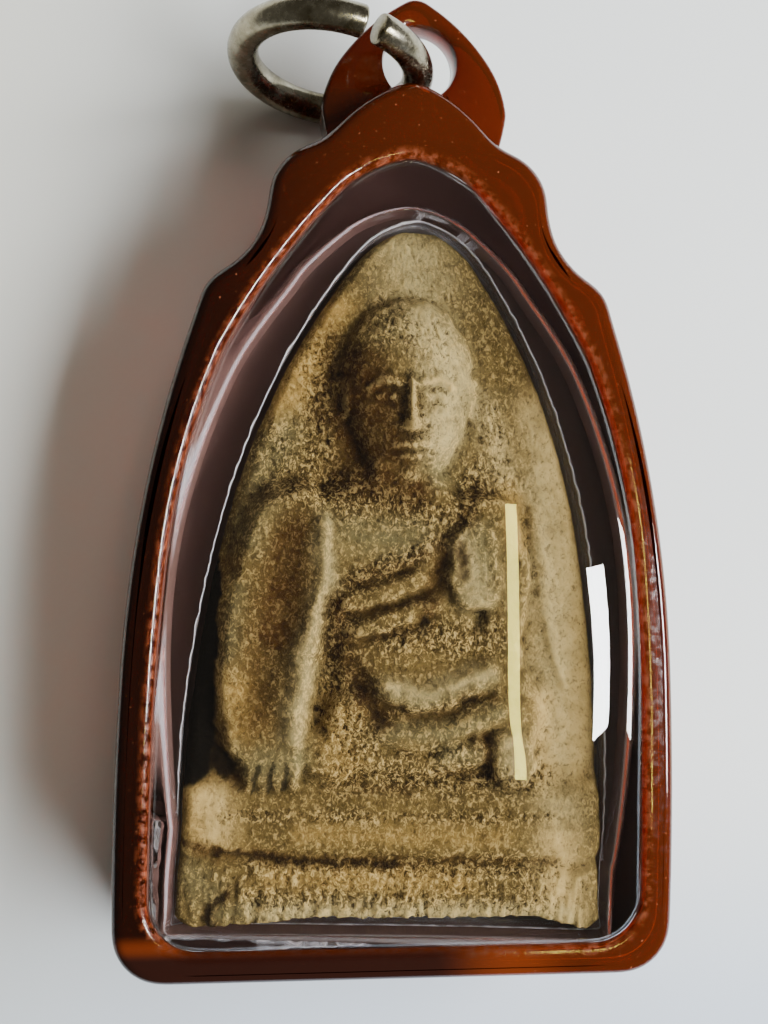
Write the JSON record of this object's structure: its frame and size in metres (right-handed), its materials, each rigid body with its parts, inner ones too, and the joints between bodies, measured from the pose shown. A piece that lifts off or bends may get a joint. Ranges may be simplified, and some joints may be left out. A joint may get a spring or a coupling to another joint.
{
  "type": "thai buddha amulet pendant",
  "caption": "A pointed clay votive tablet with a seated robed figure in relief, sealed in a red-brown plastic case with a clear domed window, a leaf-shaped lug and an open steel jump ring.",
  "frame": {"origin": "the middle of the case's flat back face, which lies on the table", "axes": "+X to the right of the figure as seen, +Y up the tablet to the lug, +Z out of the front window"},
  "size_m": [0.0326, 0.0565, 0.0118],
  "materials": {
    "brown_plastic": "glossy, see-through red-brown acrylic with fine scratches",
    "clear_plastic": "clear glossy acrylic",
    "clay": "matte, coarse and worn unglazed clay with brown stains",
    "steel_wire": "polished, slightly worn steel"
  },
  "bodies": {
    "root": {"case_front": "brown_plastic", "case_back": "brown_plastic", "window_front": "clear_plastic", "window_back": "clear_plastic", "tablet": "clay", "lug": "brown_plastic", "jump_ring": "steel_wire"}
  },
  "joints": []
}
